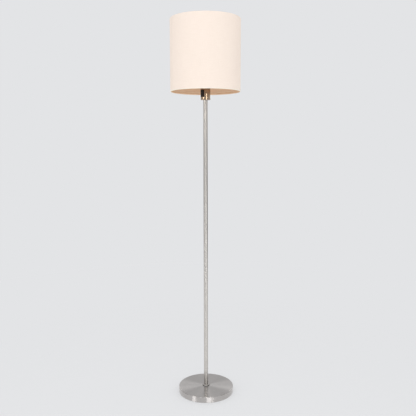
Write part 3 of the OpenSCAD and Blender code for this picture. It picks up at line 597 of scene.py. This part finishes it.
def addPiece(name, points, faces, material, body="lamp"):
    mesh = newMesh(name, points, faces, material)
    mesh.validate()
    for face in mesh.polygons:
        face.use_smooth = True
    made = addObject(name, mesh)
    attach(made, body)
    return made


# faces between rings of points: one ring for each column, and each ring closed on itself or open
def ringFaces(columns, size, closed=True):
    faces = []
    for c in range(columns):
        d = (c + 1) % columns
        for i in range(size if closed else size - 1):
            j = (i + 1) % size
            faces.append((c * size + i, d * size + i, d * size + j, c * size + j))
    return faces


def smooth(t):
    return t * t * (3 - 2 * t)


# shade fabric: one strip round the two wire rings, turned in at both edges, lapped at the back
cloth = {
    "radius": 0.150,
    "ringRadius": 0.1474,
    "lowRing": 1.3406,
    "highRing": 1.6354,
    "foldMiddle": 0.0022,   # middle of the cloth round the wire
    "thick": 0.0008,
    "thinWall": 0.00056,    # the wall between the hems
    "thinFrom": 0.006,      # above the ring, and the same again until it is thin
    "flapRadius": 0.14828,
    # turned-in edge from the wire up, outward from the fold's inside, then from the flap's radius
    "flapFoot": ((0.0, 0.0), (0.00002, 0.0008), (0.0009, 0.0026), (0.0022, 0.0045)),
    "flapLie": ((-0.0001, 0.0058), (0.0, 0.0072), (0.0, 0.0095), (0.0, 0.012)),
    "flapSteps": 13,
    "foldSteps": 14,
    "wander": 0.03,         # share by which the cut edge wanders, and how fast it does
    "wanderRate": 9.0,
    "wanderRows": (3.1, 8.7),         # of the noise, for the lower and the upper edge
    "armAngles": (14.0, 134.0, 254.0),
    "notchRadius": 0.148,   # the turned-in edge is notched round each arm
    "notchHalf": 0.0021,
    "notchEase": 0.0013,
    "notchLeft": 0.09,      # share of the turned-in edge that is left there
    "columns": 400,
    "rows": 24,
    "armColumns": 10,       # extra columns on each side of an arm, radians apart
    "armStep": 0.0022,
    "leastStep": 0.0003,
    "seamWidth": 0.010,
    "seamProud": 0.0004,
    "seamSteps": (0.0004, 0.0012),    # width of its two edges, in radians
    "lapRange": (-0.999, 0.98),       # of half the seam
    # waves of the wall: height, how fast round and up, and the row of the noise
    "ripples": ((0.00006, 14.0, 22.0, 1.7), (0.00003, 60.0, 9.0, 4.2)),
    "rippleSunk": 0.00008,
}


# half of the cloth's section round a ring at height 0, from the flap's free edge to the wall
def hemPath(share):
    middle = cloth["foldMiddle"]
    inner = cloth["ringRadius"] - middle
    flap = [(inner + r, h) for r, h in cloth["flapFoot"]]
    flap += [(cloth["flapRadius"] + r, h) for r, h in cloth["flapLie"]]
    lengths = [0.0]
    for a, b in zip(flap, flap[1:]):
        lengths.append(lengths[-1] + math.dist(a, b))
    path = []
    for i in range(cloth["flapSteps"], 0, -1):
        want = lengths[-1] * share * i / cloth["flapSteps"]
        k = max(j for j in range(len(lengths)) if lengths[j] <= want + 1e-12)
        k = min(k, len(flap) - 2)
        t = (want - lengths[k]) / (lengths[k + 1] - lengths[k])
        path.append(tuple(a + t * (b - a) for a, b in zip(flap[k], flap[k + 1])))
    for i in range(cloth["foldSteps"] + 1):
        a = math.pi + math.pi * i / cloth["foldSteps"]
        path.append((cloth["ringRadius"] + middle * math.cos(a), middle * math.sin(a)))
    return path


# share of the full turned-in edge at an angle, for one row of the noise
def turnedIn(angle, row):
    wave = noise.noise(Vector((angle * cloth["wanderRate"], row, 0)))
    return 1.0 - cloth["wander"] * (1 + wave)


def clothSection(angle):
    full, high = [turnedIn(angle, row) for row in cloth["wanderRows"]]
    low = full
    left, ease = cloth["notchLeft"], cloth["notchEase"]
    for arm in cloth["armAngles"]:
        off = abs((math.degrees(angle) - arm + 180) % 360 - 180)
        away = off * math.radians(1) * cloth["notchRadius"]
        if away < cloth["notchHalf"] + ease:
            low = min(low, left + (full - left) * smooth(max(0.0, (away - cloth["notchHalf"]) / ease)))
    lower = [(r, cloth["lowRing"] + h) for r, h in hemPath(low)]
    upper = [(r, cloth["highRing"] - h) for r, h in hemPath(high)]
    rise = cloth["highRing"] - cloth["lowRing"]
    wall = [
        (cloth["ringRadius"] + cloth["foldMiddle"], cloth["lowRing"] + rise * i / cloth["rows"])
        for i in range(1, cloth["rows"])]
    return lower + wall + upper[::-1]


# how far the outside lies from the middle of the cloth at one point of the wall
def wallTop(angle, height, lap):
    edge = min(abs(height - cloth["lowRing"]), abs(cloth["highRing"] - height))
    t = min(1.0, max(0.0, (edge - cloth["thinFrom"]) / cloth["thinFrom"]))
    thin = (cloth["thick"] - cloth["thinWall"]) * smooth(t)
    ripple = sum(
        size * noise.noise(Vector((angle * around, height * up, row)))
        for size, around, up, row in cloth["ripples"])
    top = cloth["thick"] / 2 - thin + ripple - cloth["rippleSunk"]
    return top + cloth["seamProud"] * lap


def buildCloth():
    half = cloth["seamWidth"] / 2 / cloth["radius"]
    back = math.pi / 2
    extra = cloth["armColumns"]
    first, last = cloth["seamSteps"]
    angles = [2 * math.pi * i / cloth["columns"] for i in range(cloth["columns"])]
    angles += [back - half, back - half + first, back + half - last, back + half]
    for arm in cloth["armAngles"]:
        angles += [
            math.radians(arm % 360) + k * cloth["armStep"] for k in range(-extra, extra + 1)]
    angles = sorted(angles)
    angles = [a for i, a in enumerate(angles) if i == 0 or a - angles[i - 1] > cloth["leastStep"]]
    hem = cloth["flapSteps"] + cloth["foldSteps"] + 1    # points of a section before its wall
    points = []
    for angle in angles:
        section = clothSection(angle)
        count = len(section)
        lapFrom, lapTo = cloth["lapRange"]
        lap = 1.0 if lapFrom < (angle - back) / half < lapTo else 0.0
        outside, inside = [], []
        for i, (r, h) in enumerate(section):
            before, after = section[max(0, i - 1)], section[min(count - 1, i + 1)]
            tx, tz = after[0] - before[0], after[1] - before[1]
            size = math.hypot(tx, tz) or 1.0
            nx, nz = tz / size, -tx / size
            under = cloth["thick"] / 2
            top = wallTop(angle, h, lap) if hem <= i < count - hem else under
            outside.append((r + nx * top, h + nz * top))
            inside.append((r - nx * under, h - nz * under))
        loop = outside + inside[::-1]
        points += [(r * math.cos(angle), r * math.sin(angle), h) for r, h in loop]
    return points, ringFaces(len(angles), len(loop))


linen = {
    "threadGap": 0.00095,
    "warpBend": 0.9,    # how far the threads wander from their lines
    "weftBend": 1.1,
    # how fast each change comes round and up, and its row of the noise
    "warpWave": (14.0, 60.0, 3.0),
    "weftWave": (9.0, 90.0, 9.0),
    "warpSlub": (0.9, 26.0, 1.0),
    "weftSlub": (4.2, 0.9, 5.0),
    "hair": (480.0, 900.0, 2.0),
    "tones": (tint(249, 234, 222), tint(253, 239, 228)),
    "gapTone": tint(238, 218, 202),
    "cloudTone": tint(248, 236, 224),
    # painted highlight: the lower hem, where the cloth rolls round the wire, is made lighter as if it
    # caught the light
    "hemTone": tint(255, 251, 238),
    "hemHeights": (1.3386, 1.3430),
    # painted shade: where the cloth is turned in, it takes the warm tan of the shaded inside lit
    # through the fabric
    "insideShadeTones": (tint(236, 205, 173), tint(244, 216, 186)),    # where it is turned in
    "insideRadii": (0.1474, 0.1488),
    "sheenTint": (1.0, 0.86, 0.70, 1.0),
}


# plain weave: warp up and down, weft round, each thread with its own thick places
def linenCloth():
    made = Finish("creamLinen")
    x, y, z = made.place()
    angle = made.angle(x, 0.0 - y)
    warpWave = made.waves(angle, z, linen["warpWave"]) - 0.5
    weftWave = made.waves(angle, z, linen["weftWave"]) - 0.5
    warpAt = angle * (cloth["radius"] / linen["threadGap"]) + warpWave * linen["warpBend"]
    weftAt = z / linen["threadGap"] + weftWave * linen["weftBend"]
    warp = warpAt.maths("SINE", warpAt * math.pi)
    weft = weftAt.maths("SINE", weftAt * math.pi)
    over = made.ease(warp * weft, -0.12, 0.12)    # warp on top, or weft
    warpSlub = made.waves(warpAt, z, linen["warpSlub"], detail=3.0, rough=0.6)
    weftSlub = made.waves(angle, weftAt, linen["weftSlub"], detail=3.0, rough=0.6)
    warpUp = abs(warp) * (0.75 + warpSlub * 0.5)
    weftUp = abs(weft) * (0.65 + weftSlub * 0.8)
    height = over * warpUp + (1.0 - over) * weftUp
    cloud = made.noise(made.join(x, y, z), scale=11.0, detail=4.0, rough=0.6)
    slub = made.ease(warpSlub * 0.4 + weftSlub * 0.6, 0.36, 0.66)
    hair = made.waves(angle, z, linen["hair"], detail=3.0, rough=0.7)
    plain = made.mix(made.ease(height, 0.05, 0.6, 0.75, 1.0), linen["gapTone"],
                     made.mix(slub, *linen["tones"]))
    plain = made.mix(made.ease(cloud, 0.35, 0.7, 0.0, 0.12), plain, linen["cloudTone"])
    # painted highlight along the lower hem
    plain = made.mix(made.ease(z, *linen["hemHeights"], 1.0, 0.0), plain, linen["hemTone"])
    # painted shade on the turned-in cloth inside the shade
    shadedInside = made.ease((x * x + y * y) ** 0.5, *linen["insideRadii"], 1.0, 0.0)
    plain = made.mix(shadedInside, plain, made.mix(slub, *linen["insideShadeTones"]))
    return made.surface(
        Base_Color=plain,
        Roughness=0.86 + (hair - 0.5) * 0.16,
        Specular_IOR_Level=0.2,
        Sheen_Weight=0.05,
        Sheen_Roughness=0.5,
        Sheen_Tint=linen["sheenTint"],
        Normal=made.bump(height + hair * 0.25, 0.55, 0.00018))


points, faces = buildCloth()
shadeCloth = addPiece("shadeCloth", points, faces, linenCloth())
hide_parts("shade_fabric")
print("shade fabric made:", len(points), "points")


# foam pad under the weight, with a softly pressed edge and a few dents
pad = {
    "radius": 0.1178,
    "thick": 0.003,
    "edge": 0.0011,           # radius of the pressed lower edge
    "edgeSteps": 6,
    "columns": 180,
    "flatRings": (0.02, 0.04, 0.06, 0.08, 0.1, 0.112),
    # side above that edge, out from the radius: the foam bulges a little
    "side": ((0.0001, 0.0019), (0.0, 0.0026), (-0.0002, 0.003)),
    "topRing": 0.06,
    "cutFrom": 0.11,          # beyond this radius the cut is a little uneven
    "cut": 0.00025,
    "cutRate": 7,
    "dent": 0.00006,
    "dentRate": 60,
    "cells": 1400.0,          # per metre
    "gapTone": tint(58, 57, 56),
    "tones": (tint(38, 38, 38), tint(48, 47, 46)),
}


def foam():
    made = Finish("padFoam")
    x, y, z = made.place()
    cells = made.node("ShaderNodeTexVoronoi", {"feature": "F1"}, {
        "Vector": made.join(x, y, z), "Scale": pad["cells"]})
    big = made.noise(made.join(x, y, z), scale=50.0, detail=3.0)
    return made.surface(
        Base_Color=made.mix(
            made.ease(cells, 0.1, 0.6), pad["gapTone"], made.mix(big, *pad["tones"])),
        Roughness=0.93 - big * 0.06,
        Specular_IOR_Level=0.25,
        Normal=made.bump(1.0 - cells, 0.6, 0.0003))


def buildPad():
    section = [(r, 0.0) for r in pad["flatRings"]]
    middle = pad["radius"] - pad["edge"]
    for i in range(pad["edgeSteps"] + 1):
        a = -math.pi / 2 + math.pi / 2 * i / pad["edgeSteps"]
        section.append((middle + pad["edge"] * math.cos(a), pad["edge"] + pad["edge"] * math.sin(a)))
    section += [(pad["radius"] + r, h) for r, h in pad["side"]] + [(pad["topRing"], pad["thick"])]
    count, size = pad["columns"], len(section)
    points = []
    for c in range(count):
        a = 2 * math.pi * c / count
        cosA, sinA = math.cos(a), math.sin(a)
        cut = noise.noise(Vector((cosA * pad["cutRate"], sinA * pad["cutRate"], 0.3)))
        for r, h in section:
            reach = r + pad["cut"] * cut if r > pad["cutFrom"] else r
            spot = Vector((r * cosA * pad["dentRate"], r * sinA * pad["dentRate"], 2))
            lift = pad["dent"] * max(0.0, noise.noise(spot)) if h == 0.0 else 0.0
            points.append((reach * cosA, reach * sinA, h + lift))
    faces = ringFaces(count, size, closed=False)
    low, high = len(points), len(points) + 1
    points += [(0.0, 0.0, 0.0), (0.0, 0.0, pad["thick"])]
    for c in range(count):
        d = (c + 1) % count
        faces.append((low, d * size, c * size))
        faces.append((high, c * size + size - 1, d * size + size - 1))
    return points, faces


points, faces = buildPad()
footPad = addPiece("footPad", points, faces, foam())
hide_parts("base_pad")
print("foot pad made")


# plated collar that covers the hole of the foot washer
collar = {
    "inner": 0.00956,
    "outer": 0.0138,
    "low": 0.0275,
    "lip": 0.0006,
    "high": 0.0310,
    "topWidth": 0.0008,
    "topRound": 0.0004,
    "crown": 0.0010,    # how far the slope bulges, and the share of it that goes each way
    "crownShare": 0.7,
    "steps": 12,
    "columns": 120,
}


def buildCollar():
    inner, outer = collar["inner"], collar["outer"]
    low, high = collar["low"] + collar["lip"], collar["high"]
    section = [(inner, collar["low"]), (outer, collar["low"])]
    for i in range(collar["steps"] + 1):
        t = i / collar["steps"]
        bulge = collar["crown"] * math.sin(math.pi * t) * collar["crownShare"]
        section.append((
            outer + (inner + collar["topWidth"] - outer) * t + bulge, low + (high - low) * t + bulge))
    section.append((inner, high - collar["topRound"]))
    points = []
    for c in range(collar["columns"]):
        a = 2 * math.pi * c / collar["columns"]
        points += [(r * math.cos(a), r * math.sin(a), h) for r, h in section]
    return points, ringFaces(collar["columns"], len(section))


points, faces = buildCollar()
poleCollar = addPiece("poleCollar", points, faces, finishes["brushedPole"][0])
print("collar made")


# thread of the lampholder's skirt, above the locking ring
thread = {
    "radius": 0.01972,
    "crest": 0.00032,
    "halfWidth": 0.0007,
    "sunk": 0.0001,
    "pitch": 0.0025,
    "low": 1.3826,
    "high": 1.4022,
    "stepsPerTurn": 72,
    "runIn": 20,              # steps over which it rises at each end
    "endWidth": 0.3,          # share of its width that it has there
    "shoulder": (0.8, 0.3),   # shares of crest and width at the two points beside the crest
}


def buildThread():
    turns = (thread["high"] - thread["low"]) / thread["pitch"]
    steps = int(turns * thread["stepsPerTurn"])
    tall, broad = thread["shoulder"]
    points, faces = [], []
    for i in range(steps + 1):
        a = 2 * math.pi * i / thread["stepsPerTurn"]
        z = thread["low"] + thread["pitch"] * i / thread["stepsPerTurn"]
        rise = min(1.0, i / thread["runIn"], (steps - i) / thread["runIn"])
        wide = thread["halfWidth"] * (thread["endWidth"] + (1 - thread["endWidth"]) * rise)
        proud = thread["crest"] * rise
        ridge = ((-thread["sunk"], -wide), (proud * tall, -wide * broad), (proud, 0.0),
                 (proud * tall, wide * broad), (-thread["sunk"], wide))
        for r, h in ridge:
            reach = thread["radius"] + r
            points.append((reach * math.cos(a), reach * math.sin(a), z + h))
    size = len(ridge)
    for i in range(steps):
        for k in range(size):
            low, high = i * size + k, i * size + (k + 1) % size
            faces.append((low, low + size, high + size, high))
    faces.append(tuple(range(size)))
    faces.append(tuple(steps * size + k for k in reversed(range(size))))
    return points, faces


points, faces = buildThread()
skirtThread = addPiece("skirtThread", points, faces, finishes["holderPlastic"][0])


# welds where each arm meets the fitting ring and the lower wire ring
weld = {
    # distance from the axis, height, then the bead's size out, round and up
    "ring": ((0.14774, 1.34207), (0.0011, 0.0010, 0.0008)),
    "fitter": ((0.0292, 1.3718), (0.0016, 0.0009, 0.0007)),
    "aside": 0.0011,
    "rough": 0.00022,
    "roughRate": 1400,
    "columns": 14,
    "rows": 8,
}


def addBead(points, faces, middle, out, around, size):
    columns, rows = weld["columns"], weld["rows"]
    start = len(points)
    for r in range(rows + 1):
        tilt = math.pi * r / rows
        for c in range(columns if 0 < r < rows else 1):
            a = 2 * math.pi * c / columns
            nx, ny, nz = math.sin(tilt) * math.cos(a), math.sin(tilt) * math.sin(a), math.cos(tilt)
            spot = middle + out * nx * size[0] + around * ny * size[1]
            spot += Vector((0, 0, nz * size[2]))
            lump = weld["rough"] * noise.noise(spot * weld["roughRate"])
            spot += (out * nx + around * ny + Vector((0, 0, nz))) * lump
            points.append(tuple(spot))
    last = len(points) - 1
    base = start + 1 + (rows - 2) * columns
    for c in range(columns):
        d = (c + 1) % columns
        faces.append((start, start + 1 + c, start + 1 + d))
        faces.append((last, base + d, base + c))
        for r in range(rows - 2):
            low = start + 1 + r * columns
            faces.append((low + c, low + columns + c, low + columns + d, low + d))


def buildWelds():
    points, faces = [], []
    for arm in cloth["armAngles"]:
        a = math.radians(arm)
        out, around = Vector((math.cos(a), math.sin(a), 0)), Vector((-math.sin(a), math.cos(a), 0))
        for (reach, height), size in (weld["ring"], weld["fitter"]):
            for side in (-1, 1):
                middle = out * reach + around * side * weld["aside"] + Vector((0, 0, height))
                addBead(points, faces, middle, out, around, size)
    return points, faces


points, faces = buildWelds()
weldBeads = addPiece("weldBeads", points, faces, finishes["whiteEnamel"][0])
print("thread and welds made")
